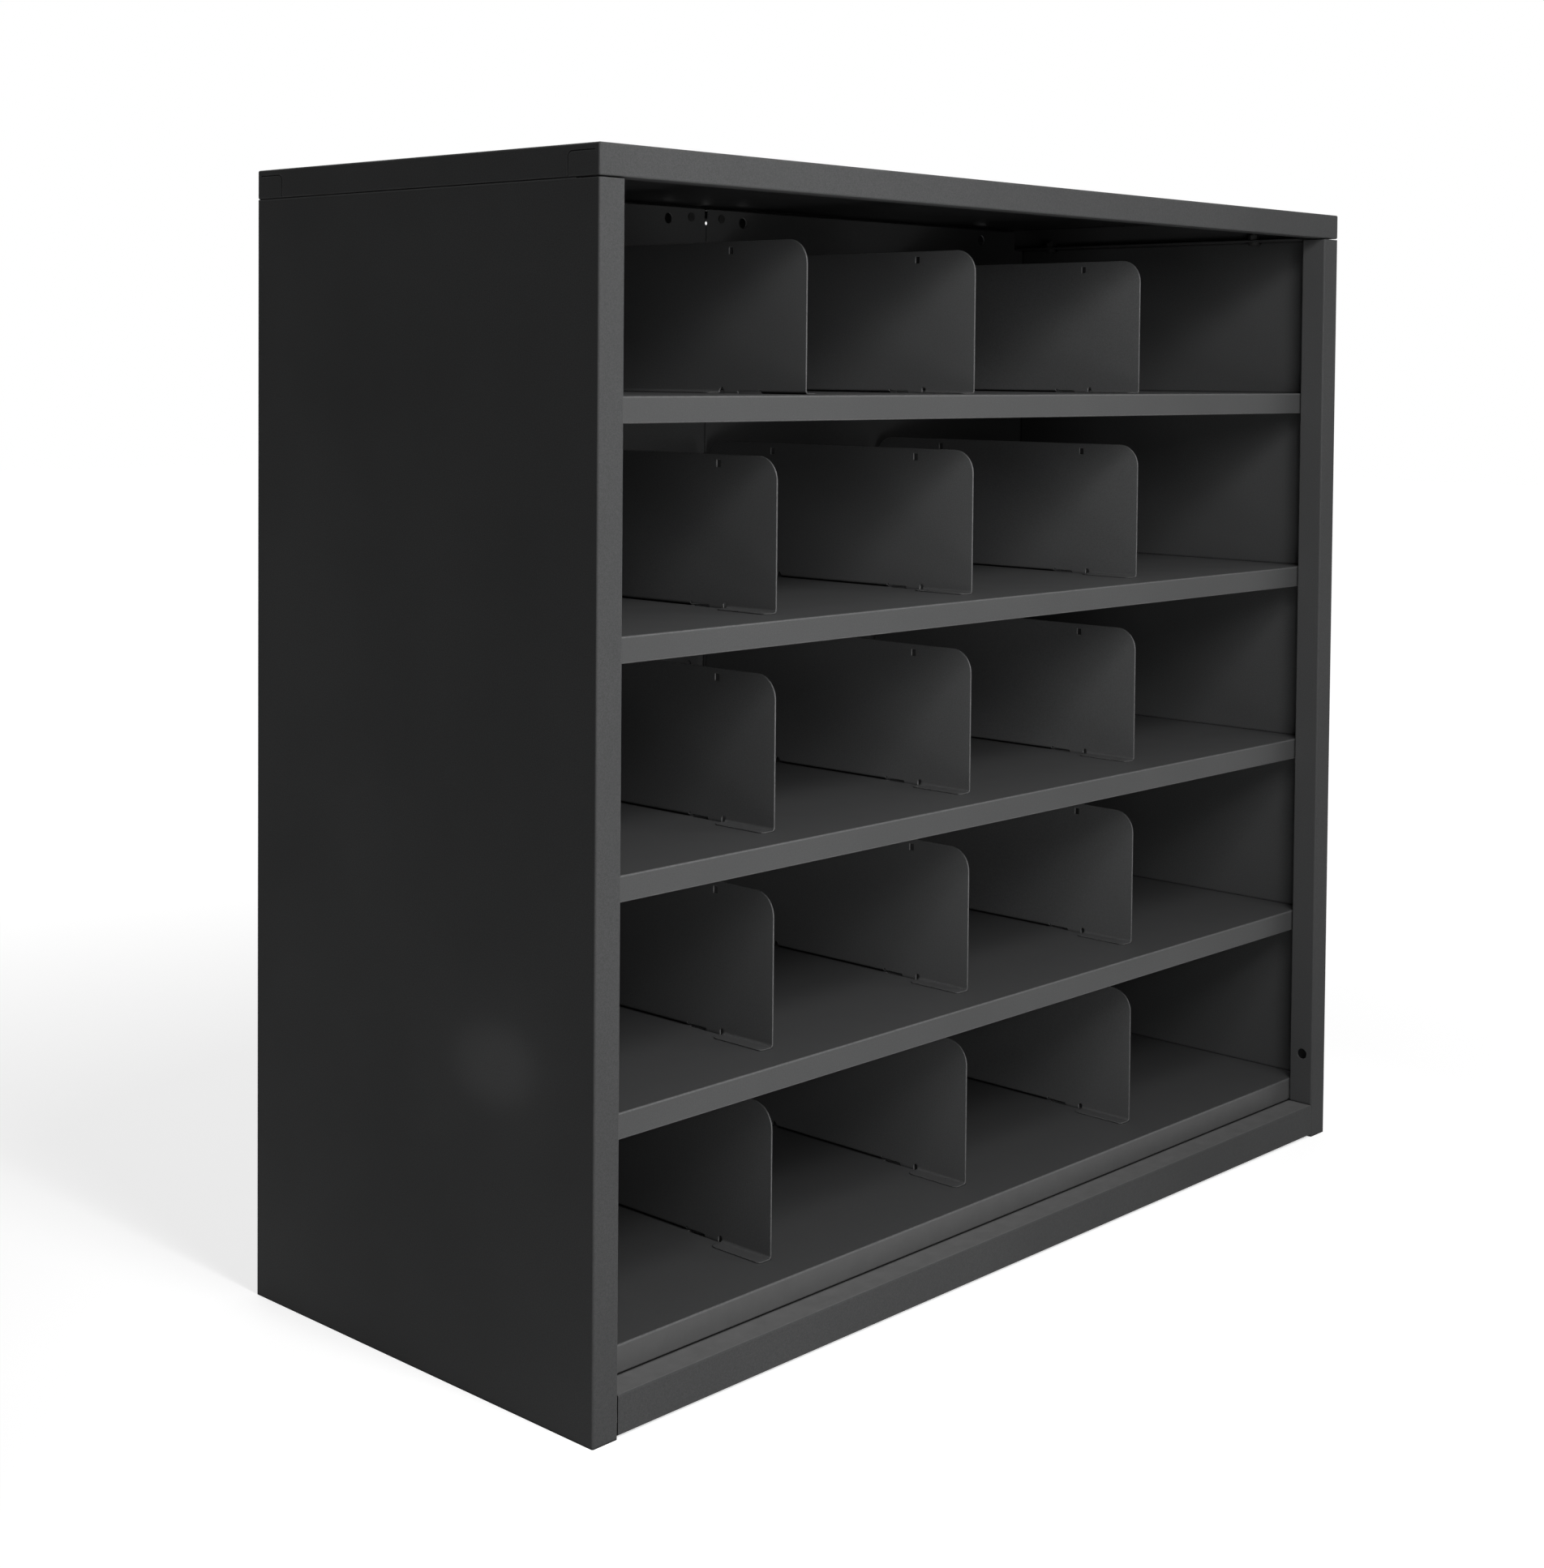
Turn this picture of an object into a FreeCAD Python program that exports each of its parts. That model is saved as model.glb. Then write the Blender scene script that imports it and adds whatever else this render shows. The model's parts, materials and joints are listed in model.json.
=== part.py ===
import FreeCAD, Part
import os
import re

# Steel pigeonhole sorter: a welded and screwed sheet-metal case with four fixed shelves,
# a bottom deck and fifteen loose dividers that stand in slots.
# Frame: millimetres, +Z up, front towards -Y, origin on the floor under the middle of the case.

SIZES = {
    # Case
    "case_width": 1000.0,
    "case_depth": 410.0,
    "case_height": 925.0,
    "gauge": 1.0,                 # sheet thickness
    "bend": 1.6,                  # outer radius of the folds
    "fit_gap": 0.4,               # side clearance of a sheet part between its neighbours
    "weld_gap": 0.1,              # close joint of a rail that is welded between two posts
    "seam_gap": 0.8,              # open joint between the two back panels
    # Top panel, a pan with its rim turned down
    "top_rim": 23.5,
    "rear_notch_width": 50.0,     # notch in the rear rim, behind the seam of the back
    "rear_notch_depth": 9.5,
    "top_return": 15.0,           # inward return along the lower edge of the rim
    "corner_tab_length": 33.0,
    "corner_tab_height": 18.0,
    "corner_tab_radius": 5.0,
    "corner_tab_root": 5.0,       # uncut length that joins the tab to the front or rear rim
    "slit": 0.9,
    "slit_depth": 0.6,            # the slit is welded shut behind, and stays as a groove outside
    # Side panels with folded front posts
    "post_face": 24.5,
    "post_return": 24.7,
    "side_flange": 15.0,          # top and bottom flange
    "side_rear_flange": 19.0,
    "post_hole": 10.0,
    "post_hole_height": 82.0,
    "post_hole_inset": 11.8,
    # Plinth rails
    "floor_clearance": 2.2,
    "plinth_top": 32.0,
    "plinth_ledge": 40.0,
    "plinth_return": 15.0,
    # Shelves and bottom deck
    "shelf_inset": 26.0,          # lip behind the front of the case
    "back_inset": 17.0,           # inner face of the back before the rear of the case
    "deck_top": 54.0,
    "first_shelf": 225.0,
    "top_space": 178.0,           # from the top shelf to the top of the case
    "shelf_lip": 20.0,
    "shelf_return": 12.0,
    "corner_relief": 5.0,
    # Dividers
    "last_column_extra": 6.0,     # how much wider the right-hand column is than the others
    "odd_column_shift": 33.0,     # the turned divider on the top shelf stands this far right
    "divider_inset": 61.0,
    "divider_rear_gap": 8.0,      # from a divider to the back
    "divider_headroom": 29.0,     # from a divider to the lip of the shelf above
    "divider_corner": 20.0,
    "foot_width": 13.0,
    "foot_bend": 3.0,
    "foot_corner": 4.0,
    "front_foot": 54.5,
    "rear_foot": 50.0,
    "front_tab_start": 58.5,
    "front_gap_end": 96.5,
    "rear_tab_from_end": 76.0,
    "rear_slit": 5.0,
    "tab_width": 16.0,
    "tab_depth": 9.0,
    "tab_corner": 3.0,
    "gap_rise": 2.0,              # the lower edge beside a tab stands this far off the shelf
    "relief_hole": 4.0,
    "relief_height": 3.2,
    "bend_relief": 2.0,           # width of the notch where a gap meets a foot
    "finger_slot_width": 4.5,
    "finger_slot_height": 6.0,
    "finger_slot_drop": 7.5,      # slot centre below the divider's top edge
    "front_finger_slot": 65.0,
    "rear_finger_slot_from_end": 85.0,
    "slot_length": 41.0,
    "slot_width": 3.0,
    "front_slot_start": 52.0,     # from the divider's front edge
    "rear_slot_from_end": 93.0,
    # Back
    "back_drop": 5.0,             # from the top of the case to the top of the back
    "back_flange": 14.0,
    "back_hole": 10.0,
    "back_hole_drop": 11.0,       # this drop and the next ones start at the top of the back
    "back_hole_from_seam": 50.5,
    "back_hole_from_side": 75.5,
    "strip_half_width": 30.0,
    "strip_flange": 11.0,
    "strip_drop": 2.0,
    "seam_notch_width": 4.5,
    "seam_notch_depth": 9.0,
    "seam_hole": 3.6,
    "seam_hole_drop": 13.5,
    "rivet_from_seam": 20.5,
    "rivet_drop": 8.5,
    "rivet_rise": 43.0,           # of the low rivets, from the foot of the back
    "middle_hole": 8.0,
    "middle_hole_drop": 437.0,
    # Fasteners
    "rivet_head": 8.0,
    "rivet_head_height": 0.9,
    "rivet_shank": 4.0,
    "rivet_tail": 5.5,
    "rivet_tail_height": 2.0,
    "screw_size": 6.0,
    "screw_hole": 6.6,
    "screw_head": 12.0,
    "screw_head_height": 3.4,
    "screw_length": 9.0,
    "screw_inset": 8.2,
    "front_screw": 92.0,
    "rear_screw_from_end": 60.0,
    "nut_flats": 10.0,
    "nut_height": 5.0,
    # Cutting tools
    "overcut": 1.0,               # how far a tool reaches past the sheet that it cuts
}

SHELF_COUNT = 4
COLUMN_COUNT = 3

# Sizes that follow from the ones above
FOLLOWING = {
    "shelf_pitch": "(case_height - top_space - first_shelf) / %d" % (SHELF_COUNT - 1),
    "column_pitch": "(case_width - last_column_extra) / %d" % (COLUMN_COUNT + 1),
    "divider_height": "shelf_pitch - shelf_lip - divider_headroom",
    "divider_length": "case_depth - divider_inset - back_inset - divider_rear_gap",
    "rear_tab_end": "divider_length - rear_tab_from_end",
    "middle_foot_end": "rear_tab_end - tab_width - rear_slit",
    "rear_finger_slot": "divider_length - rear_finger_slot_from_end",
    "rear_slot_start": "divider_length - rear_slot_from_end",
    "back_top": "case_height - back_drop",
    "back_hole_height": "back_top - back_hole_drop",
    "strip_top": "back_top - strip_drop",
    "seam_hole_height": "back_top - seam_hole_drop",
    "rivet_top_height": "back_top - rivet_drop",
    "rivet_low_height": "plinth_top + rivet_rise",
    "middle_hole_height": "back_top - middle_hole_drop",
    "rear_screw": "case_depth - rear_screw_from_end",
}

LEFT_SIDE = -1
RIGHT_SIDE = 1

doc = FreeCAD.newDocument("pigeonhole_sorter")
sheet = doc.addObject("Spreadsheet::Sheet", "Sizes")
cells = {alias: str(size) for alias, size in SIZES.items()}
cells.update({alias: "=" + formula for alias, formula in FOLLOWING.items()})
for row, (alias, content) in enumerate(cells.items(), start=1):
    sheet.set("A%d" % row, alias)
    sheet.set("B%d" % row, content)
    sheet.setAlias("B%d" % row, alias)
doc.recompute()
CELL = {alias: "Sizes." + alias for alias in cells}
VALUE = {alias: float(sheet.get(alias)) for alias in cells}

nodes = []


# ---- Helpers -------------------------------------------------------------------------------

def bound(formula):
    """The formula with each size name turned into a reference to its cell."""
    return re.sub(r"[a-z_]+", lambda word: CELL.get(word.group(), word.group()), formula)


def place(item, at):
    """Bind an object's position to three formulas."""
    for axis, formula in zip("xyz", at):
        item.setExpression("Placement.Base." + axis, bound(formula))


def block(name, size, at):
    """A box whose size and lowest corner are formulas."""
    box = doc.addObject("Part::Box", name)
    for side, formula in zip(("Length", "Width", "Height"), size):
        box.setExpression(side, bound(formula))
    place(box, at)
    return box


ALONG = {
    "x": FreeCAD.Rotation(FreeCAD.Vector(0, 1, 0), 90),
    "y": FreeCAD.Rotation(FreeCAD.Vector(1, 0, 0), -90),
    "z": FreeCAD.Rotation(),
}


def rod(name, diameter, length, at, axis):
    """A cylinder that starts at a point and runs along an axis."""
    cylinder = doc.addObject("Part::Cylinder", name)
    cylinder.setExpression("Radius", bound("(%s) / 2" % diameter))
    cylinder.setExpression("Height", bound(length))
    cylinder.Placement = FreeCAD.Placement(FreeCAD.Vector(), ALONG[axis])
    place(cylinder, at)
    return cylinder


def joined(name, pieces):
    """One solid from overlapping or touching pieces."""
    fuse = doc.addObject("Part::MultiFuse", name)
    fuse.Shapes = pieces
    fuse.Refine = True
    return fuse


def cut(name, base, tools):
    """The base with every tool taken away."""
    result = doc.addObject("Part::Cut", name)
    result.Base = base
    result.Tool = joined(name + "_tools", tools) if len(tools) > 1 else tools[0]
    result.Refine = True
    return result


def straight_edges(shape, x=None, y=None, z=None):
    """Numbers of the edges whose ends all lie at the given coordinates."""
    wanted = [(axis, at) for axis, at in enumerate((x, y, z)) if at is not None]
    found = []
    for number, edge in enumerate(shape.Edges, start=1):
        ends = [vertex.Point for vertex in edge.Vertexes]
        if all(abs(end[axis] - at) < 1e-5 for end in ends for axis, at in wanted):
            found.append(number)
    return found


def rounded(name, base, lines):
    """The base with its straight edges rounded; each line is (radius, coordinates)."""
    doc.recompute()
    fillet = doc.addObject("Part::Fillet", name)
    fillet.Base = base
    picked = []
    for radius, where in lines:
        numbers = straight_edges(base.Shape, **where)
        if not numbers:
            raise ValueError("no edge to round on %s at %s" % (name, where))
        picked += [(number, radius, radius) for number in numbers]
    fillet.Edges = picked
    return fillet


def finish(item, label):
    """Give a sub-part its name and keep it for export."""
    item.Label = label
    nodes.append(item)
    return item


def handed_x(side, inset, length):
    """X of the lower corner of a piece that stands this far in from a side's outer face."""
    if side == LEFT_SIDE:
        return "-case_width / 2 + (%s)" % inset
    return "case_width / 2 - (%s) - (%s)" % (inset, length)


FRONT = "-case_depth / 2"
REAR = "case_depth / 2"
BACK_FACE = "case_depth / 2 - back_inset"
WALL_HOLES = (("seam", "case_width / 2 - back_hole_from_seam"), ("side", "back_hole_from_side"))

half_width = VALUE["case_width"] / 2
half_depth = VALUE["case_depth"] / 2
height = VALUE["case_height"]
bend = VALUE["bend"]
gauge = VALUE["gauge"]


# ---- Top panel -----------------------------------------------------------------------------

def corner_tab_slit(name, side, at_front):
    """L-shaped groove round a welded corner tab in the rim, open at the lower edge."""
    bottom = "case_height - top_rim - overcut"
    reach = "slit_depth + overcut"
    x_outer = handed_x(side, "-overcut", reach)
    if at_front:
        y_outer = FRONT + " + corner_tab_root"
        y_inner = y_outer
    else:
        y_outer = REAR + " - corner_tab_length - slit"
        y_inner = y_outer + " + slit"
    run = "corner_tab_length - corner_tab_root"
    outer = block(name + "_outer", (reach, run + " + slit", "corner_tab_height + slit + overcut"),
                  (x_outer, y_outer, bottom))
    inner = block(name + "_inner", (reach, run, "corner_tab_height + overcut"),
                  (x_outer, y_inner, bottom))
    length = VALUE["corner_tab_length"]
    slit = VALUE["slit"]
    top = height - VALUE["top_rim"] + VALUE["corner_tab_height"]
    direction = 1 if at_front else -1
    y_edge = -direction * half_depth + direction * length
    radius = VALUE["corner_tab_radius"]
    outer_round = rounded(name + "_outer_round", outer,
                          [(radius, {"y": y_edge + direction * slit, "z": top + slit})])
    inner_round = rounded(name + "_inner_round", inner,
                          [(radius - slit, {"y": y_edge, "z": top})])
    return cut(name, outer_round, [inner_round])


def top_panel():
    skin = block("top_skin", ("case_width", "case_depth", "top_rim"),
                 ("-case_width / 2", FRONT, "case_height - top_rim"))
    folds = []
    for x_side in (-half_width, half_width):
        folds += [(bend, {"x": x_side, "y": y_side}) for y_side in (-half_depth, half_depth)]
    for z_level in (height, height - VALUE["top_rim"]):
        folds += [(bend, {"z": z_level, "x": x_side}) for x_side in (-half_width, half_width)]
        folds += [(bend, {"z": z_level, "y": y_side}) for y_side in (-half_depth, half_depth)]
    rounded_skin = rounded("top_skin_rounded", skin, folds)
    hollow = block("top_hollow",
                   ("case_width - 2 * gauge", "case_depth - 2 * gauge", "top_rim - 2 * gauge"),
                   ("-case_width / 2 + gauge", FRONT + " + gauge", "case_height - top_rim + gauge"))
    mouth = block("top_mouth",
                  ("case_width - 2 * top_return", "case_depth - gauge - top_return",
                   "gauge + 2 * overcut"),
                  ("-case_width / 2 + top_return", FRONT + " + top_return",
                   "case_height - top_rim - overcut"))
    rear_notch = block("top_rear_notch",
                       ("rear_notch_width", "gauge + 2 * overcut", "rear_notch_depth + overcut"),
                       ("-rear_notch_width / 2", REAR + " - gauge - overcut",
                        "case_height - top_rim - overcut"))
    tools = [hollow, mouth, rear_notch]
    for side, side_name in ((LEFT_SIDE, "left"), (RIGHT_SIDE, "right")):
        for hole, inset in WALL_HOLES:
            tools.append(rod("top_%s_wall_hole_%s" % (hole, side_name), "back_hole",
                             "gauge + 2 * overcut",
                             (handed_x(side, inset, "0"), REAR + " - gauge - overcut",
                              "back_hole_height"), "y"))
        tools.append(corner_tab_slit("slit_front_" + side_name, side, True))
        tools.append(corner_tab_slit("slit_rear_" + side_name, side, False))
        for screw in ("front_screw", "rear_screw"):
            tools.append(rod("top_%s_hole_%s" % (screw, side_name), "screw_hole",
                             "gauge + 2 * overcut",
                             (screw_x(side), FRONT + " + " + screw,
                              "case_height - top_rim - overcut"), "z"))
    finish(cut("top_panel", rounded_skin, tools), "top_panel")


# ---- Side panels ---------------------------------------------------------------------------

def screw_x(side):
    """X of the screws that hold the top panel down on a side panel."""
    return "%d * (case_width / 2 - screw_inset)" % side


def side_panel(side, side_name):
    """Skin, front post and flanges of one side, folded from one sheet; the post's top is open."""
    tall = "case_height - top_rim"
    skin = block("side_skin_" + side_name, ("post_face", "case_depth", tall),
                 (handed_x(side, "0", "post_face"), FRONT, "0"))
    outer = side * half_width
    inner = side * (half_width - VALUE["post_face"])
    top = height - VALUE["top_rim"]
    bends = [(bend, {"x": outer, "y": -half_depth}), (bend, {"x": outer, "y": half_depth}),
             (bend, {"x": inner, "y": -half_depth}), (bend, {"x": outer, "z": top})]
    rounded_skin = rounded("side_skin_rounded_" + side_name, skin, bends)
    post_hollow = block("post_hollow_" + side_name,
                        ("post_face - 2 * gauge", "post_return - gauge + overcut",
                         tall + " - 2 * gauge"),
                        (handed_x(side, "gauge", "post_face - 2 * gauge"), FRONT + " + gauge",
                         "gauge"))
    side_hollow = block("side_hollow_" + side_name,
                        ("post_face - gauge + overcut", "case_depth - post_return - gauge",
                         tall + " - 2 * gauge"),
                        (handed_x(side, "gauge", "post_face - gauge + overcut"),
                         FRONT + " + post_return", "gauge"))
    flange_trim = ("post_face - side_flange + overcut", "case_depth - post_return + overcut",
                   "gauge + overcut")
    trim_x = handed_x(side, "side_flange", "post_face - side_flange + overcut")
    top_trim = block("side_top_trim_" + side_name, flange_trim,
                     (trim_x, FRONT + " + post_return", tall + " - gauge"))
    bottom_trim = block("side_bottom_trim_" + side_name, flange_trim,
                        (trim_x, FRONT + " + post_return", "-overcut"))
    post_width = "post_face + 2 * overcut"
    post_trim = block("side_post_trim_" + side_name,
                      (post_width, "post_return + overcut", "gauge + overcut"),
                      (handed_x(side, "-overcut", post_width), FRONT + " - overcut",
                       tall + " - gauge"))
    rear_width = "post_face - side_rear_flange + overcut"
    rear_trim = block("side_rear_trim_" + side_name,
                      (rear_width, "gauge + 2 * overcut", tall + " + 2 * overcut"),
                      (handed_x(side, "side_rear_flange", rear_width),
                       REAR + " - gauge - overcut", "-overcut"))
    hole_length = "gauge + 2 * overcut"
    hole = rod("post_hole_" + side_name, "post_hole", hole_length,
               (handed_x(side, "post_face - gauge - overcut", hole_length),
                FRONT + " + post_hole_inset", "post_hole_height"), "x")
    tools = [post_hollow, side_hollow, top_trim, bottom_trim, post_trim, rear_trim, hole]
    for screw in ("front_screw", "rear_screw"):
        tools.append(rod("side_%s_hole_%s" % (screw, side_name), "screw_hole",
                         "gauge + 2 * overcut",
                         (screw_x(side), FRONT + " + " + screw,
                          tall + " - gauge - overcut"), "z"))
    label = "side_panel_" + side_name
    finish(cut(label, rounded_skin, tools), label)


# ---- Plinth rails --------------------------------------------------------------------------

def plinth_rail(label, end_inset, at_front):
    """Channel under the deck: upright face, ledge on top and a return below."""
    length = "case_width - 2 * (%s)" % end_inset
    x_start = "-case_width / 2 + (%s)" % end_inset
    y_start = FRONT if at_front else REAR + " - plinth_ledge"
    rail = block(label + "_rail", (length, "plinth_ledge", "plinth_top - floor_clearance"),
                 (x_start, y_start, "floor_clearance"))
    y_face = -half_depth if at_front else half_depth
    rounded_rail = rounded(label + "_rounded", rail,
                           [(bend, {"y": y_face, "z": VALUE["plinth_top"]}),
                            (bend, {"y": y_face, "z": VALUE["floor_clearance"]})])
    inside_y = y_start + " + gauge" if at_front else y_start + " - overcut"
    hollow = block(label + "_hollow",
                   (length + " + 2 * overcut", "plinth_ledge - gauge + overcut",
                    "plinth_top - floor_clearance - 2 * gauge"),
                   (x_start + " - overcut", inside_y, "floor_clearance + gauge"))
    below_y = y_start + " + plinth_return" if at_front else y_start + " - overcut"
    below = block(label + "_below",
                  (length + " + 2 * overcut", "plinth_ledge - plinth_return + overcut",
                   "gauge + 2 * overcut"),
                  (x_start + " - overcut", below_y, "floor_clearance - overcut"))
    finish(cut(label, rounded_rail, [hollow, below]), label)


# ---- Shelves and deck ----------------------------------------------------------------------

def column_x(column, shifted):
    """X of a divider's middle plane."""
    formula = "-case_width / 2 + %d * column_pitch" % column
    return formula + " + odd_column_shift" if shifted else formula


def shelf(label, top_formula, top_value, lip_formula, lip_value, shifted_first):
    """Pan with its rim turned down and in, slotted for three dividers."""
    length = "case_width - 2 * gauge - 2 * fit_gap"
    x_start = "-case_width / 2 + gauge + fit_gap"
    depth = "case_depth - shelf_inset - back_inset"
    y_start = FRONT + " + shelf_inset"
    z_start = "(%s) - (%s)" % (top_formula, lip_formula)
    pan = block(label + "_pan", (length, depth, lip_formula), (x_start, y_start, z_start))
    y_lip = -half_depth + VALUE["shelf_inset"]
    rounded_pan = rounded(label + "_rounded", pan,
                          [(bend, {"y": y_lip, "z": top_value}),
                           (bend, {"y": y_lip, "z": top_value - lip_value})])
    hollow = block(label + "_hollow",
                   (length + " - 2 * gauge", depth + " - 2 * gauge", lip_formula + " - 2 * gauge"),
                   (x_start + " + gauge", y_start + " + gauge", z_start + " + gauge"))
    mouth = block(label + "_mouth",
                  (length + " - 2 * shelf_return", depth + " - 2 * shelf_return",
                   "gauge + 2 * overcut"),
                  (x_start + " + shelf_return", y_start + " + shelf_return",
                   z_start + " - overcut"))
    tools = [hollow, mouth]
    plate_z = "(%s) - gauge - overcut" % top_formula
    plate_cut = "gauge + 2 * overcut"
    for side, side_name in ((LEFT_SIDE, "left"), (RIGHT_SIDE, "right")):
        relief_x = handed_x(side, "gauge + fit_gap - overcut", "corner_relief + overcut")
        tools.append(block("%s_relief_%s" % (label, side_name),
                           ("corner_relief + overcut", "corner_relief", plate_cut),
                           (relief_x, y_start + " + bend + gauge", plate_z)))
    for column in range(1, COLUMN_COUNT + 1):
        middle = column_x(column, shifted_first and column == 1)
        for slot in ("front_slot_start", "rear_slot_start"):
            tools.append(block("%s_column_%d_%s" % (label, column, slot),
                               ("slot_width", "slot_length", plate_cut),
                               (middle + " - slot_width / 2",
                                FRONT + " + divider_inset + " + slot, plate_z)))
    finish(cut(label, rounded_pan, tools), label)


# ---- Back ----------------------------------------------------------------------------------

def back_panel(side, side_name):
    """Flat half of the back with a rearward flange at its outer edge and along its top."""
    width = "case_width / 2 - gauge - fit_gap - seam_gap / 2"
    x_start = handed_x(side, "gauge + fit_gap", width)
    tall = "back_top - plinth_top"
    depth = "back_inset - gauge"
    name = "back_panel_" + side_name
    slab = block(name + "_slab", (width, depth, tall), (x_start, BACK_FACE, "plinth_top"))
    behind = block(name + "_behind",
                   (width + " - gauge + overcut", depth + " - gauge + overcut",
                    tall + " - gauge + overcut"),
                   (handed_x(side, "2 * gauge + fit_gap", width + " - gauge + overcut"),
                    BACK_FACE + " + gauge", "plinth_top - overcut"))
    flange_trim = block(name + "_flange_trim",
                        (width + " + 2 * overcut", "back_inset", "2 * gauge + overcut"),
                        (handed_x(side, "side_rear_flange", width + " + 2 * overcut"),
                         BACK_FACE + " + back_flange", "back_top - 2 * gauge"))
    notch = block(name + "_notch",
                  ("side_flange + overcut", "back_inset + 2 * overcut",
                   "back_top - case_height + top_rim + gauge + overcut + fit_gap"),
                  (handed_x(side, "fit_gap", "side_flange + overcut"), BACK_FACE + " - overcut",
                   "case_height - top_rim - gauge - fit_gap"))
    tools = [behind, flange_trim, notch]
    through = "gauge + 2 * overcut"
    by_seam = "case_width / 2 - rivet_from_seam"
    holes = [(hole, inset, "back_hole", "back_hole_height") for hole, inset in WALL_HOLES]
    holes += [("middle", by_seam, "middle_hole", "middle_hole_height"),
              ("rivet_top", by_seam, "rivet_shank", "rivet_top_height"),
              ("rivet_low", by_seam, "rivet_shank", "rivet_low_height")]
    for hole, inset, diameter, z_hole in holes:
        tools.append(rod("%s_%s_hole" % (name, hole), diameter, through,
                         (handed_x(side, inset, "0"), BACK_FACE + " - overcut", z_hole), "y"))
    tools.append(rod(name + "_seam_hole", "seam_hole", through,
                     ("0", BACK_FACE + " - overcut", "seam_hole_height"), "y"))
    tools.append(block(name + "_seam_notch",
                       ("seam_notch_width", "back_inset", "seam_notch_depth + overcut"),
                       ("-seam_notch_width / 2", BACK_FACE + " - overcut",
                        "back_top - seam_notch_depth")))
    finish(cut(name, slab, tools), name)


def seam_strip():
    """Upright channel behind the joint of the two back panels."""
    width = "2 * strip_half_width"
    tall = "strip_top - plinth_top"
    face = BACK_FACE + " + gauge"
    channel = block("strip_channel", (width, "gauge + strip_flange", tall),
                    ("-strip_half_width", face, "plinth_top"))
    y_face = half_depth - VALUE["back_inset"] + gauge
    rounded_channel = rounded("strip_rounded", channel,
                              [(bend, {"x": -VALUE["strip_half_width"], "y": y_face}),
                               (bend, {"x": VALUE["strip_half_width"], "y": y_face})])
    hollow = block("strip_hollow",
                   (width + " - 2 * gauge", "strip_flange + overcut", tall + " + 2 * overcut"),
                   ("-strip_half_width + gauge", face + " + gauge", "plinth_top - overcut"))
    mouth = block("strip_mouth",
                  ("2 * seam_notch_width", "gauge + 2 * overcut",
                   "strip_top - seam_hole_height + seam_hole + overcut"),
                  ("-seam_notch_width", face + " - overcut", "seam_hole_height - seam_hole"))
    tools = [hollow, mouth]
    for side, side_name in ((LEFT_SIDE, "left"), (RIGHT_SIDE, "right")):
        for spot in ("rivet_top_height", "rivet_low_height"):
            tools.append(rod("strip_%s_%s" % (spot, side_name), "rivet_shank",
                             "gauge + 2 * overcut",
                             ("%d * rivet_from_seam" % side, face + " - overcut", spot), "y"))
    finish(cut("back_seam_strip", rounded_channel, tools), "back_seam_strip")


# ---- Fasteners -----------------------------------------------------------------------------

def back_rivets():
    """Flat-headed rivets that clamp the back panels to the strip."""
    rivets = []
    for side, side_name in ((LEFT_SIDE, "left"), (RIGHT_SIDE, "right")):
        for spot in ("rivet_top_height", "rivet_low_height"):
            name = "rivet_%s_%s" % (spot, side_name)
            x_axis = "%d * rivet_from_seam" % side
            head = rod(name + "_head", "rivet_head", "rivet_head_height",
                       (x_axis, BACK_FACE + " - rivet_head_height", spot), "y")
            shank = rod(name + "_shank", "rivet_shank", "2 * gauge", (x_axis, BACK_FACE, spot), "y")
            tail = rod(name + "_tail", "rivet_tail", "rivet_tail_height",
                       (x_axis, BACK_FACE + " + 2 * gauge", spot), "y")
            rivets.append(joined(name, [head, shank, tail]))
    group = doc.addObject("Part::Compound", "back_rivets")
    group.Links = rivets
    finish(group, "back_rivets")


def top_fasteners():
    """Pan-head screws up through the side flanges, and their weld nuts on the top's returns."""
    screws = []
    nuts = []
    seat = "case_height - top_rim - gauge"
    for side, side_name in ((LEFT_SIDE, "left"), (RIGHT_SIDE, "right")):
        for spot in ("front_screw", "rear_screw"):
            name = "%s_%s" % (spot, side_name)
            y_axis = FRONT + " + " + spot
            head = rod(name + "_head", "screw_head", "screw_head_height",
                       (screw_x(side), y_axis, seat + " - screw_head_height"), "z")
            doc.recompute()
            dome = doc.addObject("Part::Fillet", name + "_dome")
            dome.Base = head
            low = head.Shape.BoundBox.ZMin
            rim = [number for number, edge in enumerate(head.Shape.Edges, start=1)
                   if abs(edge.BoundBox.ZMax - low) < 1e-4]
            dome_radius = VALUE["screw_head_height"] * 0.6
            dome.Edges = [(number, dome_radius, dome_radius) for number in rim]
            shank = rod(name + "_shank", "screw_size", "screw_length",
                        (screw_x(side), y_axis, seat), "z")
            screws.append(joined(name, [dome, shank]))
            nut = doc.addObject("Part::Prism", name + "_nut_blank")
            nut.Polygon = 6
            nut.setExpression("Circumradius", bound("nut_flats / 2 / cos(30)"))
            nut.setExpression("Height", bound("nut_height"))
            place(nut, (screw_x(side), y_axis, seat + " + 2 * gauge"))
            bore = rod(name + "_nut_bore", "screw_size", "nut_height + 2 * overcut",
                       (screw_x(side), y_axis, seat + " + 2 * gauge - overcut"), "z")
            nuts.append(cut(name + "_nut", nut, [bore]))
    for label, pieces in (("top_screws", screws), ("top_nuts", nuts)):
        group = doc.addObject("Part::Compound", label)
        group.Links = pieces
        finish(group, label)


# ---- Dividers ------------------------------------------------------------------------------

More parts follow.
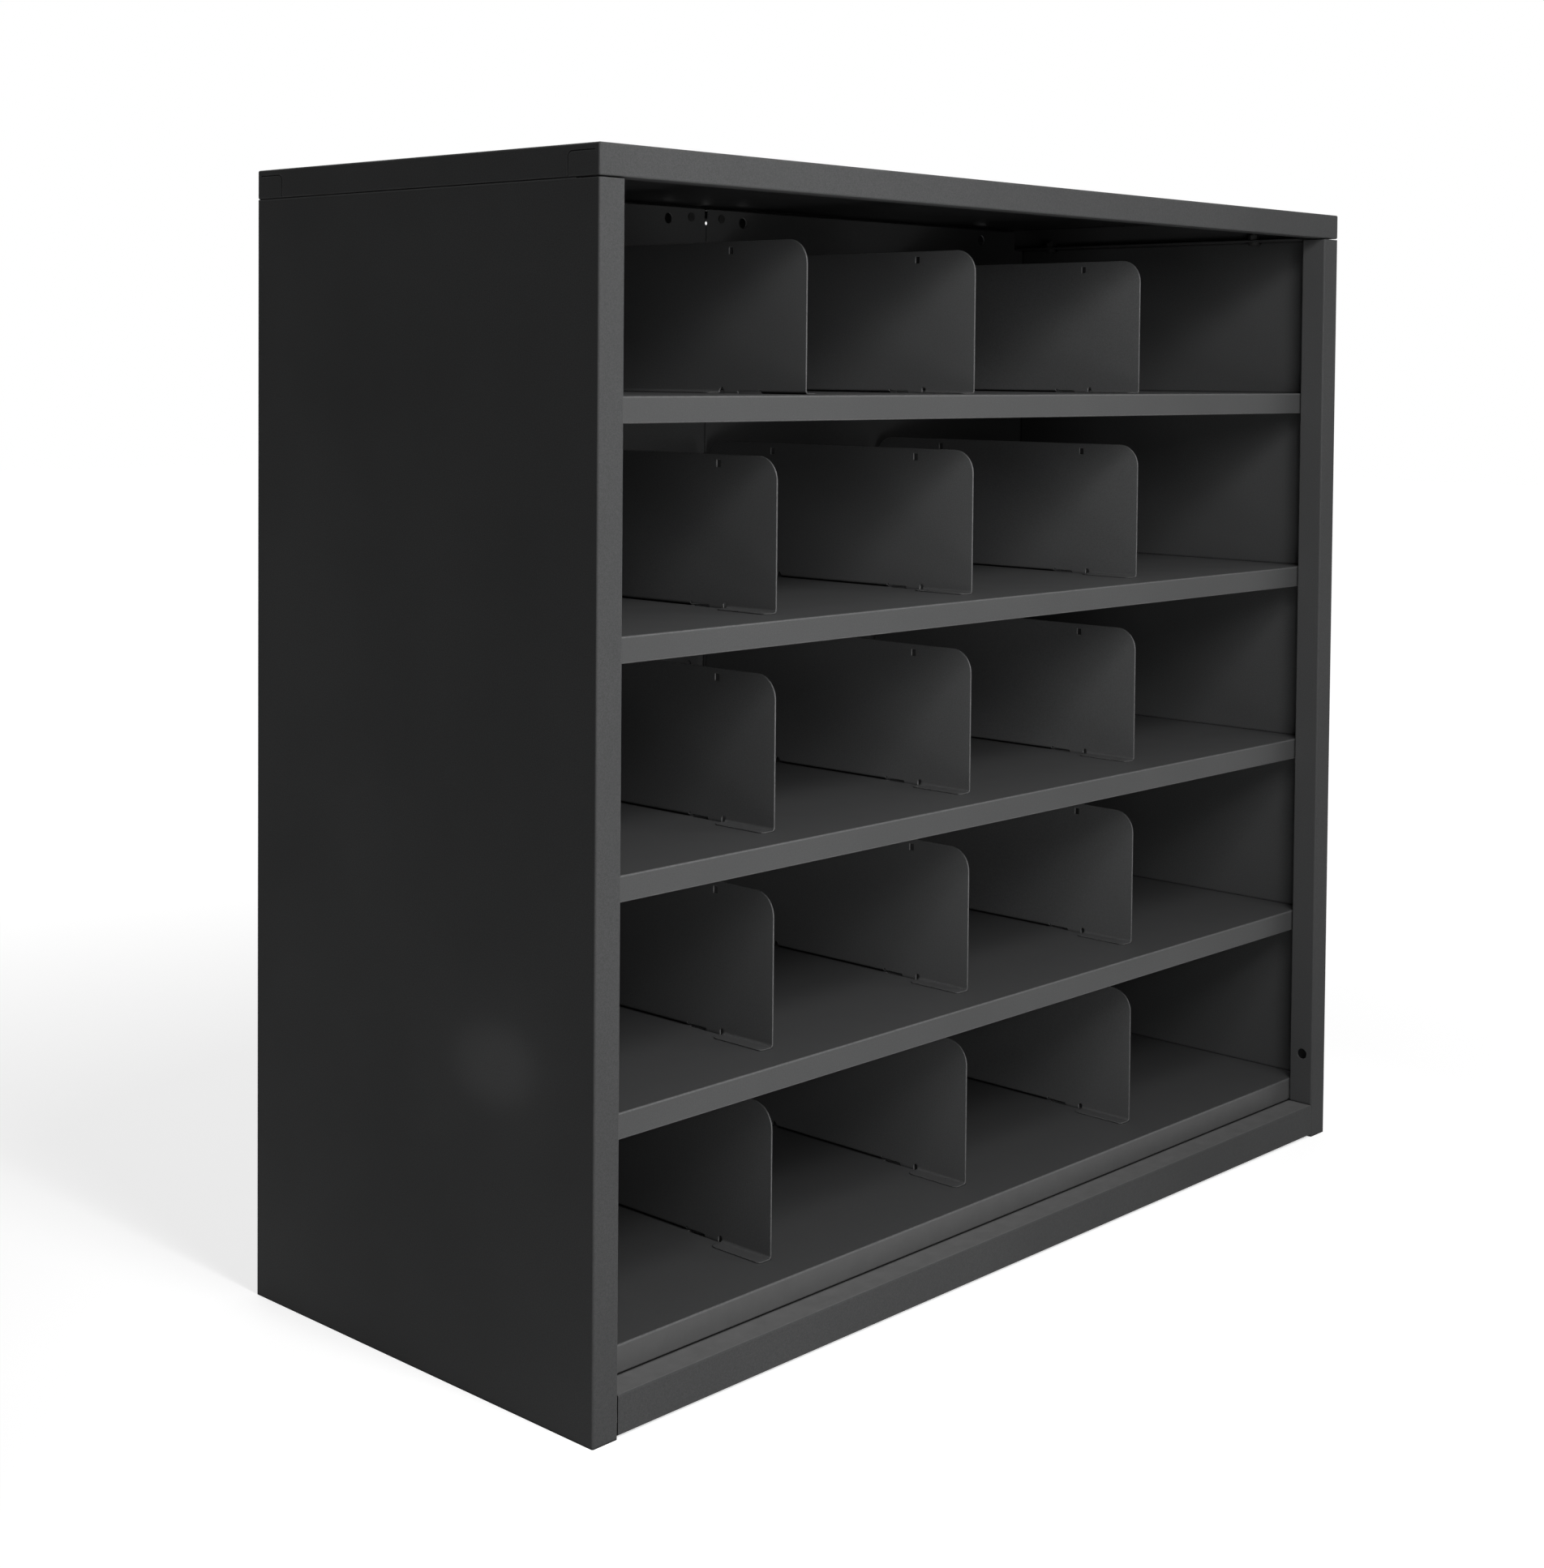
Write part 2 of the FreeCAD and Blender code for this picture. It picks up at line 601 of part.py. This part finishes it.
def divider(label, column, shifted, shelf_top):
    """Plate with feet folded to alternate sides and two tabs; the shifted one is turned round."""
    start = "-divider_length / 2"
    half_length = VALUE["divider_length"] / 2
    start_y = -half_length
    plate = block(label + "_plate", ("gauge", "divider_length", "divider_height"),
                  ("-gauge / 2", start, "0"))
    feet = (("front", LEFT_SIDE, "0", "front_foot"),
            ("middle", RIGHT_SIDE, "front_gap_end", "middle_foot_end - front_gap_end"),
            ("rear", LEFT_SIDE, "divider_length - rear_foot", "rear_foot"))
    pieces = [plate]
    for foot, side, begin, length in feet:
        x_foot = "-gauge / 2 - foot_width" if side == LEFT_SIDE else "-gauge / 2"
        pieces.append(block("%s_%s_foot" % (label, foot), ("foot_width + gauge", length, "gauge"),
                            (x_foot, start + " + " + begin, "0")))
    tabs = (("front", "front_tab_start"), ("rear", "rear_tab_end - tab_width"))
    for tab, begin in tabs:
        pieces.append(block("%s_%s_tab" % (label, tab), ("gauge", "tab_width", "2 * tab_depth"),
                            ("-gauge / 2", start + " + " + begin, "-tab_depth")))
    blank = joined(label + "_blank", pieces)
    thick = "gauge + 2 * overcut"
    x_cut = "-gauge / 2 - overcut"
    openings = (("front_slit", "front_foot", "front_tab_start - front_foot", "relief_height"),
                ("front_gap", "front_tab_start + tab_width",
                 "front_gap_end - front_tab_start - tab_width", "gap_rise"),
                ("middle_notch", "front_gap_end - bend_relief", "bend_relief", "relief_height"),
                ("rear_slit", "middle_foot_end",
                 "rear_tab_end - tab_width - middle_foot_end", "relief_height"),
                ("rear_gap", "rear_tab_end",
                 "divider_length - rear_foot - rear_tab_end", "gap_rise"),
                ("rear_notch", "divider_length - rear_foot - bend_relief", "bend_relief",
                 "relief_height"))
    tools = []
    for opening, begin, length, rise in openings:
        tools.append(block("%s_%s" % (label, opening), (thick, length, rise + " + overcut"),
                           (x_cut, start + " + " + begin, "-overcut")))
    folded = cut(label + "_flat_pattern", blank, tools)
    tab_sides = [start_y + VALUE[along] + past for along, past in
                 (("front_tab_start", 0.0), ("front_tab_start", VALUE["tab_width"]),
                  ("rear_tab_end", -VALUE["tab_width"]), ("rear_tab_end", 0.0))]
    bend_out = VALUE["foot_bend"]
    bend_in = VALUE["foot_bend"] - gauge
    skin = gauge / 2
    rounds = [(VALUE["divider_corner"], {"y": -half_length, "z": VALUE["divider_height"]}),
              (VALUE["divider_corner"], {"y": half_length, "z": VALUE["divider_height"]}),
              (bend_in, {"x": -skin, "z": gauge}),
              (bend_in, {"x": skin, "z": gauge})]
    rounds += [(VALUE["tab_corner"], {"y": y_side, "z": -VALUE["tab_depth"]})
               for y_side in tab_sides]
    foot_ends = ((LEFT_SIDE, 0.0, VALUE["front_foot"]),
                 (RIGHT_SIDE, VALUE["front_gap_end"], VALUE["middle_foot_end"]),
                 (LEFT_SIDE, VALUE["divider_length"] - VALUE["rear_foot"],
                  VALUE["divider_length"]))
    for side, begin, end in foot_ends:
        free_edge = skin + VALUE["foot_width"]
        x_free = -free_edge if side == LEFT_SIDE else free_edge
        rounds += [(VALUE["foot_corner"], {"x": x_free, "y": start_y + along})
                   for along in (begin, end)]
    inner = rounded(label + "_inner_bends", folded, rounds)
    outer = rounded(label + "_outer_bends", inner,
                    [(bend_out, {"x": skin, "z": 0.0}), (bend_out, {"x": -skin, "z": 0.0})])
    holes = []
    for hole, begin in (("front_relief", "(front_foot + front_tab_start) / 2"),
                        ("rear_relief", "(middle_foot_end + rear_tab_end - tab_width) / 2")):
        holes.append(rod("%s_%s" % (label, hole), "relief_hole", thick,
                         (x_cut, start + " + " + begin, "relief_height"), "x"))
    for slot in ("front_finger_slot", "rear_finger_slot"):
        holes.append(block("%s_%s" % (label, slot),
                           (thick, "finger_slot_width", "finger_slot_height"),
                           (x_cut, start + " + %s - finger_slot_width / 2" % slot,
                            "divider_height - finger_slot_drop - finger_slot_height / 2")))
    whole = cut(label, outer, holes)
    if shifted:
        whole.Placement = FreeCAD.Placement(FreeCAD.Vector(), FreeCAD.Rotation(180, 0, 0))
    place(whole, (column_x(column, shifted), FRONT + " + divider_inset + divider_length / 2",
                  shelf_top))
    finish(whole, label)


# ---- Assembly ------------------------------------------------------------------------------

top_panel()
side_panel(LEFT_SIDE, "left")
side_panel(RIGHT_SIDE, "right")
plinth_rail("plinth_front", "post_face + weld_gap", True)
plinth_rail("plinth_rear", "side_rear_flange + fit_gap", False)
levels = [("deck", "bottom_deck", "deck_top", VALUE["deck_top"], "deck_top - plinth_top",
           VALUE["deck_top"] - VALUE["plinth_top"])]
for number in range(SHELF_COUNT):
    levels.append(("shelf_%d" % (SHELF_COUNT - number), "shelf_%d" % (SHELF_COUNT - number),
                   "(first_shelf + %d * shelf_pitch)" % number,
                   VALUE["first_shelf"] + number * VALUE["shelf_pitch"],
                   "shelf_lip", VALUE["shelf_lip"]))
for level, label, top_formula, top_value, lip_formula, lip_value in levels:
    is_top_level = level == "shelf_1"
    shelf(label, top_formula, top_value, lip_formula, lip_value, is_top_level)
    for column in range(1, COLUMN_COUNT + 1):
        divider("divider_%s_%d" % (level, column), column, is_top_level and column == 1,
                top_formula)
back_panel(LEFT_SIDE, "left")
back_panel(RIGHT_SIDE, "right")
seam_strip()
back_rivets()
top_fasteners()
doc.recompute()

for item in doc.Objects:
    if "Invalid" in item.State or "Error" in item.State:
        raise RuntimeError("%s failed: %s" % (item.Name, item.State))
os.makedirs("parts", exist_ok=True)
for node in nodes:
    if node.Shape.isNull() or not node.Shape.isValid():
        raise RuntimeError("%s has no valid shape" % node.Label)
    node.Shape.exportStep("parts/%s.step" % node.Label)
    print("%-22s solids %d  volume %.0f mm3" % (node.Label, len(node.Shape.Solids),
                                                 node.Shape.Volume))
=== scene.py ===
import json
import math
import bpy
from mathutils import Matrix, Vector

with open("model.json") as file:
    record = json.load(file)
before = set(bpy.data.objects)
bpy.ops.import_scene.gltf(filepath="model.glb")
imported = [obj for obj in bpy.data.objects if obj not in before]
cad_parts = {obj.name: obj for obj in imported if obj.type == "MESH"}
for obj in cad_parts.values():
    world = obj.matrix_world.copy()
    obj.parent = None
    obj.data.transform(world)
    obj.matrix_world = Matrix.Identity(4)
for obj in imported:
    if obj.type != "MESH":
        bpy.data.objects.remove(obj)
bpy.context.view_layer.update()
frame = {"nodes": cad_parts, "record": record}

# Steel pigeonhole sorter in charcoal powder coat, on a pale studio floor. Metres, in the CAD frame:
# +Z up, the open front faces -Y, and the origin is on the floor under the middle of the case.

scene = bpy.context.scene

# ---- Node helpers --------------------------------------------------------------------------


class Graph:
    """A node tree with short calls for the nodes that the materials share."""

    def __init__(self, tree):
        self.tree = tree
        tree.nodes.clear()

    def set_input(self, socket, value):
        """Link a socket to another node's output, or give it a constant."""
        if isinstance(value, bpy.types.NodeSocket):
            self.tree.links.new(value, socket)
        else:
            socket.default_value = value

    def add(self, kind, inputs=None, **settings):
        node = self.tree.nodes.new(kind)
        for name, value in settings.items():
            setattr(node, name, value)
        for name, value in (inputs or {}).items():
            self.set_input(node.inputs[name], value)
        return node

    def noise(self, at, scale, detail, rough):
        return self.add("ShaderNodeTexNoise", {"Vector": at, "Scale": scale, "Detail": detail,
                                               "Roughness": rough}).outputs["Fac"]

    def span(self, value, low, high, to_low, to_high):
        """The value's range low..high mapped to another range, and held at its ends."""
        return self.add("ShaderNodeMapRange", {"Value": value, "From Min": low, "From Max": high,
                                               "To Min": to_low, "To Max": to_high}
                        ).outputs["Result"]

    def math(self, operation, first, second=0.0):
        return self.add("ShaderNodeMath", {0: first, 1: second}, operation=operation).outputs[0]

    def largest(self, first, second, third):
        return self.math("MAXIMUM", first, self.math("MAXIMUM", second, third))

    def blend(self, factor, first, second):
        """Mix of two colours."""
        node = self.add("ShaderNodeMix", data_type="RGBA")
        for index, value in ((0, factor), (6, first), (7, second)):
            self.set_input(node.inputs[index], value)
        return node.outputs[2]

    def watched(self):
        """1 for rays from the camera, a glossy surface or a clear one, and 0 for lighting rays."""
        path = self.add("ShaderNodeLightPath").outputs
        return self.largest(path["Is Camera Ray"], path["Is Glossy Ray"],
                            path["Is Transmission Ray"])


def grey(value, warm=0.0):
    return (value * (1 + warm), value, value * (1 - warm), 1.0)


def new_material(name):
    material = bpy.data.materials.new(name)
    material.use_nodes = True
    return material, Graph(material.node_tree)


# ---- Materials -----------------------------------------------------------------------------

TONE = 0.085                      # base grey of the coat
COOL = -0.01                      # its slight lean to blue
BLACK_TONE = 0.05                 # of the painted fasteners
GRAIN_SCALE = 1100.0
MOTTLE_SCALE = 420.0
CLOUD_SCALE = 5.0
BLOTCH_SCALE = 60.0
EDGE_RADIUS = 0.0012              # how far from an edge the coat looks rounded
CREVICE_SHADE_REACH = 0.003                   # how far painted shade reaches out of gaps and inner corners
COAT_RELIEF = 0.0002
FLOOR_BAND_TOP = 0.056            # height of the band by the floor where faces get painted light
FLOOR_BAND_FADE = 0.004


def powder_coat(name, tone, offset, gloss, fold_gloss, edge_highlight_gain, bends, painted_low_light=None,
                painted_top_shade=0.0):
    """Satin charcoal powder coat: fine grain, faint clouding, shinier on the folds, with painted
    shade in gaps and inner corners.

    edge_highlight_gain is how many times paler the edges are, as a painted highlight, and bends is
    how far the rounded bends share in that. painted_low_light = (axis, sign, gain) paints light on
    the faces that look along the axis near the floor. painted_top_shade is how much painted shade
    darkens the faces that look up. All of them, and the tone of each slot, are painted light and
    shade that match brightness, not different paints.
    """
    material, graph = new_material(name)
    place = graph.add("ShaderNodeTexCoord").outputs["Object"]
    at = graph.add("ShaderNodeVectorMath", {0: place, 1: offset}, operation="ADD").outputs[0]
    grain = graph.noise(at, GRAIN_SCALE, 3.0, 0.6)
    mottle = graph.noise(at, MOTTLE_SCALE, 2.0, 0.5)
    cloud = graph.noise(at, CLOUD_SCALE, 3.0, 0.55)
    speckle = graph.span(grain, 0.3, 0.7, 0.0, 1.0)
    base = graph.blend(speckle, grey(tone * 0.82, COOL), grey(tone * 1.18, COOL))
    colour = graph.blend(graph.span(cloud, 0.35, 0.65, 0.0, 0.35), base, grey(tone * 0.8, COOL))
    flat = graph.add("ShaderNodeNewGeometry").outputs["Normal"]
    facing = graph.add("ShaderNodeSeparateXYZ", {0: flat}).outputs
    # painted light: near the floor the faces that look along the axis are made paler in blotches,
    # standing in for light on the plinth ledge and deck lip
    if painted_low_light:
        axis, sign, gain = painted_low_light
        turned = graph.span(graph.math("MULTIPLY", facing[axis], sign), 0.8, 0.95, 0.0, 1.0)
        low = graph.span(graph.add("ShaderNodeSeparateXYZ", {0: place}).outputs["Z"],
                         FLOOR_BAND_TOP, FLOOR_BAND_TOP - FLOOR_BAND_FADE, 0.0, 1.0)
        blotch = graph.span(graph.noise(at, BLOTCH_SCALE, 3.0, 0.6), 0.3, 0.7, 0.75, 1.0)
        painted_low_light_mask = graph.math("MULTIPLY", blotch, graph.math("MULTIPLY", turned, low))
        colour = graph.blend(painted_low_light_mask, colour, grey(tone * gain))
    # painted shade: the faces that look up are darkened
    colour = graph.blend(graph.span(facing["Z"], 0.2, 0.8, 0.0, painted_top_shade), colour, grey(0.0))
    soft = graph.add("ShaderNodeBevel", {"Radius": EDGE_RADIUS}, samples=4).outputs["Normal"]
    turn = graph.add("ShaderNodeVectorMath", {0: flat, 1: soft}, operation="DOT_PRODUCT")
    edge = graph.span(turn.outputs["Value"], 0.995, 0.8, 0.0, 1.0)
    steepest = graph.largest(*(graph.math("ABSOLUTE", facing[axis]) for axis in "XYZ"))
    fold = graph.math("MAXIMUM", edge, graph.span(steepest, 0.995, 0.9, 0.0, bends))
    # painted highlight: the edges and bends are made paler, standing in for the thin bright lines
    # that light draws along them
    painted_edge_highlight = graph.math("MULTIPLY", fold, graph.span(mottle, 0.35, 0.6, 0.35, 0.8))
    colour = graph.blend(painted_edge_highlight, colour, grey(tone * edge_highlight_gain))
    # painted shade: gaps and inner corners are darkened where ambient occlusion finds them closed
    # in
    crevice_openness = graph.add("ShaderNodeAmbientOcclusion", {"Distance": CREVICE_SHADE_REACH},
                        samples=8).outputs["AO"]
    colour = graph.blend(graph.span(crevice_openness, 0.4, 0.85, 1.0, 0.0), colour, grey(tone * 0.05))
    height = graph.math("ADD", graph.math("MULTIPLY", grain, 0.6),
                        graph.math("MULTIPLY", mottle, 0.8))
    bump = graph.add("ShaderNodeBump", {"Strength": 0.25, "Distance": COAT_RELIEF,
                                        "Height": height, "Normal": soft}).outputs["Normal"]
    shine = graph.span(graph.math("ADD", cloud, graph.math("MULTIPLY", grain, 0.5)),
                       0.5, 1.0, 0.45, 0.57)
    shader = graph.add("ShaderNodeBsdfPrincipled", {
        "Base Color": colour, "Roughness": shine, "Normal": bump,
        "Specular IOR Level": graph.span(fold, 0.0, 1.0, gloss, fold_gloss)})
    graph.add("ShaderNodeOutputMaterial", {"Surface": shader.outputs[0]})
    return material


def blackened(name, tone, roughness, gloss):
    """Small black fasteners, with fine turning marks and dulled patches."""
    material, graph = new_material(name)
    place = graph.add("ShaderNodeTexCoord").outputs["Object"]
    patches = graph.noise(place, 300.0, 3.0, 0.6)
    marks = graph.noise(place, 1800.0, 1.0, 0.5)
    colour = graph.blend(graph.span(patches, 0.35, 0.65, 0.0, 1.0),
                         grey(tone), grey(tone * 0.7, 0.02))
    bump = graph.add("ShaderNodeBump", {"Strength": 0.3, "Distance": 0.0001,
                                        "Height": marks}).outputs["Normal"]
    shader = graph.add("ShaderNodeBsdfPrincipled", {
        "Base Color": colour, "Metallic": 0.0, "Normal": bump, "Specular IOR Level": gloss,
        "Roughness": graph.span(patches, 0.3, 0.7, roughness - 0.08, roughness + 0.1)})
    graph.add("ShaderNodeOutputMaterial", {"Surface": shader.outputs[0]})
    return material


# painted light and shade: the slots are one paint, and each slot's tone factor lightens or darkens
# it to match brightness, the dividers most
SLOT_MATERIALS = {
    "case_paint": powder_coat("case_powder_coat", TONE * 0.94, (0.0, 0.0, 0.0), 0.05, 0.15,
                              1.1, 0.3, ("Z", 1.0, 2.4)),
    "shelf_paint": powder_coat("shelf_powder_coat", TONE * 0.88, (3.1, 0.7, 1.9), 0.3, 0.5,
                               1.8, 1.0, ("Y", -1.0, 1.5)),
    "back_paint": powder_coat("back_powder_coat", TONE * 0.92, (1.3, 5.2, 0.4), 0.3, 0.3,
                              1.2, 0.3),
    "divider_paint": powder_coat("divider_powder_coat", TONE * 1.25, (7.7, 2.6, 4.8), 0.3, 0.6,
                                 2.6, 0.1, painted_top_shade=0.25),
    "fastener_black": blackened("black_fastener", BLACK_TONE, 0.5, 0.1),
}

for part in frame["record"]["subparts"]:
    node = frame["nodes"][part["node"]]
    for slot in node.material_slots:
        slot.material = SLOT_MATERIALS[part["material_slot"]]

# ---- World and floor -----------------------------------------------------------------------

AMBIENT = 0.01
FLOOR_HALF = 14.0
FLOOR_NEAR = 0.72                 # the floor's glow by the case, and 1 further out
HALF_WIDTH = 0.5
HALF_DEPTH = 0.205
PAINTED_SHADOW_FADE = 0.035                # painted shadow: the floor's glow fades out over this width inside the case's outline

world = bpy.data.worlds.new("studio")
scene.world = world
world.use_nodes = True
sky = Graph(world.node_tree)
fill = sky.add("ShaderNodeBackground", {"Color": grey(1.0), "Strength": AMBIENT})
white = sky.add("ShaderNodeBackground", {"Color": grey(1.0), "Strength": 1.0})
mix = sky.add("ShaderNodeMixShader", {0: sky.watched(), 1: fill.outputs[0],
                                      2: white.outputs[0]})
sky.add("ShaderNodeOutputWorld", {"Surface": mix.outputs[0]})

floor_mesh = bpy.data.meshes.new("floor")
corners = [(x * FLOOR_HALF, y * FLOOR_HALF, 0.0) for x, y in ((-1, -1), (1, -1), (1, 1), (-1, 1))]
floor_mesh.from_pydata(corners, [], [(0, 1, 2, 3)])
floor = bpy.data.objects.new("floor", floor_mesh)
scene.collection.objects.link(floor)
paper, ground = new_material("floor_paper")
spot = ground.add("ShaderNodeTexCoord").outputs["Object"]
away = ground.add("ShaderNodeVectorMath", {0: spot}, operation="LENGTH").outputs["Value"]
lift = ground.span(away, 0.8, 2.2, FLOOR_NEAR, 1.0)
mirrored = ground.add("ShaderNodeVectorMath", {0: spot}, operation="ABSOLUTE").outputs[0]
under = ground.add("ShaderNodeVectorMath", {0: mirrored, 1: (HALF_WIDTH, HALF_DEPTH, 0.0)},
                   operation="SUBTRACT").outputs[0]
parts = ground.add("ShaderNodeSeparateXYZ", {0: under}).outputs
# painted shadow: the floor's glow goes out under the case's outline
beyond_painted_shadow = ground.span(ground.math("MAXIMUM", parts["X"], parts["Y"]), -PAINTED_SHADOW_FADE, 0.0, 0.0, 1.0)
glow = ground.add("ShaderNodeEmission", {
    "Color": grey(1.0),
    "Strength": ground.math("MULTIPLY", beyond_painted_shadow, ground.math("MULTIPLY", lift,
                                                             ground.watched()))})
matt = ground.add("ShaderNodeBsdfDiffuse", {"Color": grey(0.8)})
both = ground.add("ShaderNodeAddShader", {0: glow.outputs[0], 1: matt.outputs[0]})
ground.add("ShaderNodeOutputMaterial", {"Surface": both.outputs[0]})
floor_mesh.materials.append(paper)

# ---- Lamps ---------------------------------------------------------------------------------


def aim(name, light, at, towards):
    lamp = bpy.data.objects.new(name, light)
    lamp.location = at
    lamp.rotation_euler = (Vector(towards) - Vector(at)).to_track_quat("-Z", "Y").to_euler()
    scene.collection.objects.link(lamp)
    return lamp


def softbox(name, at, towards, size, power):
    """A square studio lamp that faces a point."""
    light = bpy.data.lights.new(name, "AREA")
    light.shape = "RECTANGLE"
    light.size = size
    light.size_y = size
    light.energy = power
    aim(name, light, at, towards).visible_camera = False


def spotlight(name, at, towards, cone, power):
    """A round lamp with a narrow cone that faces a point."""
    light = bpy.data.lights.new(name, "SPOT")
    light.energy = power
    light.spot_size = math.radians(cone)
    light.spot_blend = 1.0
    light.shadow_soft_size = SPOT_RADIUS
    aim(name, light, at, towards)


MIDDLE = (0.0, 0.0, 0.45)
CROWN_AIM = (0.35, -0.2, 0.9)
SPOT_RADIUS = 0.01
GLOW_FROM = (-1.57, -1.2766, 0.414)
GLOW_ON = (-0.5, -0.0966, 0.254)   # the light patch low on the left side panel
for name, at, towards, size, power in (
        ("high", (-0.6, -1.4, 1.5), MIDDLE, 0.5, 5.7),
        ("far", (-0.6, -2.0, 1.8), MIDDLE, 0.5, 4.6),
        ("key", (-0.5, -1.3, 1.1), MIDDLE, 0.3, 3.2),
        ("near", (-0.5, -0.9, 1.3), MIDDLE, 0.2, 2.6),
        ("side", (-0.55, -1.3, 0.6), MIDDLE, 0.3, 0.8),
        ("level", (-0.5, -0.9, 0.5), MIDDLE, 0.2, 1.1),
        ("low", (-0.5, -0.7, 0.2), MIDDLE, 0.14, 0.42),
        ("crown", (0.35, -0.75, 1.25), CROWN_AIM, 0.2, 0.9),
        ("rear", (0.5, 2.0, 2.2), MIDDLE, 1.6, 9.0),
        ("right", (2.2, 0.9, 2.2), MIDDLE, 1.6, 6.0)):
    softbox(name, at, towards, size, power)
for name, cone, power in (("glow_core", 2.9, 16.0), ("glow_halo", 6.0, 4.0)):
    spotlight(name, GLOW_FROM, GLOW_ON, cone, power)

# ---- Camera --------------------------------------------------------------------------------

CAMERA_AT = (-1.634729, -1.440122, 0.768096)
YAW = math.radians(46.726)
PITCH = math.radians(-1.92)
ROLL = math.radians(0.473)
SENSOR = 36.0
LENS = 54.98
SHIFT_Y = -0.2141
CLIP_END = 100.0

forward = Vector((math.sin(YAW) * math.cos(PITCH), math.cos(YAW) * math.cos(PITCH),
                  math.sin(PITCH)))
level_right = Vector((math.cos(YAW), -math.sin(YAW), 0.0))
level_up = level_right.cross(forward)
right = math.cos(ROLL) * level_right + math.sin(ROLL) * level_up
up = -math.sin(ROLL) * level_right + math.cos(ROLL) * level_up

lens = bpy.data.cameras.new("camera")
lens.sensor_fit = "AUTO"
lens.sensor_width = SENSOR
lens.lens = LENS
lens.shift_y = SHIFT_Y
lens.clip_end = CLIP_END
camera = bpy.data.objects.new("camera", lens)
camera.matrix_world = Matrix((
    (right.x, up.x, -forward.x, CAMERA_AT[0]),
    (right.y, up.y, -forward.y, CAMERA_AT[1]),
    (right.z, up.z, -forward.z, CAMERA_AT[2]),
    (0.0, 0.0, 0.0, 1.0)))
scene.collection.objects.link(camera)
scene.camera = camera
scene.view_settings.view_transform = "Standard"
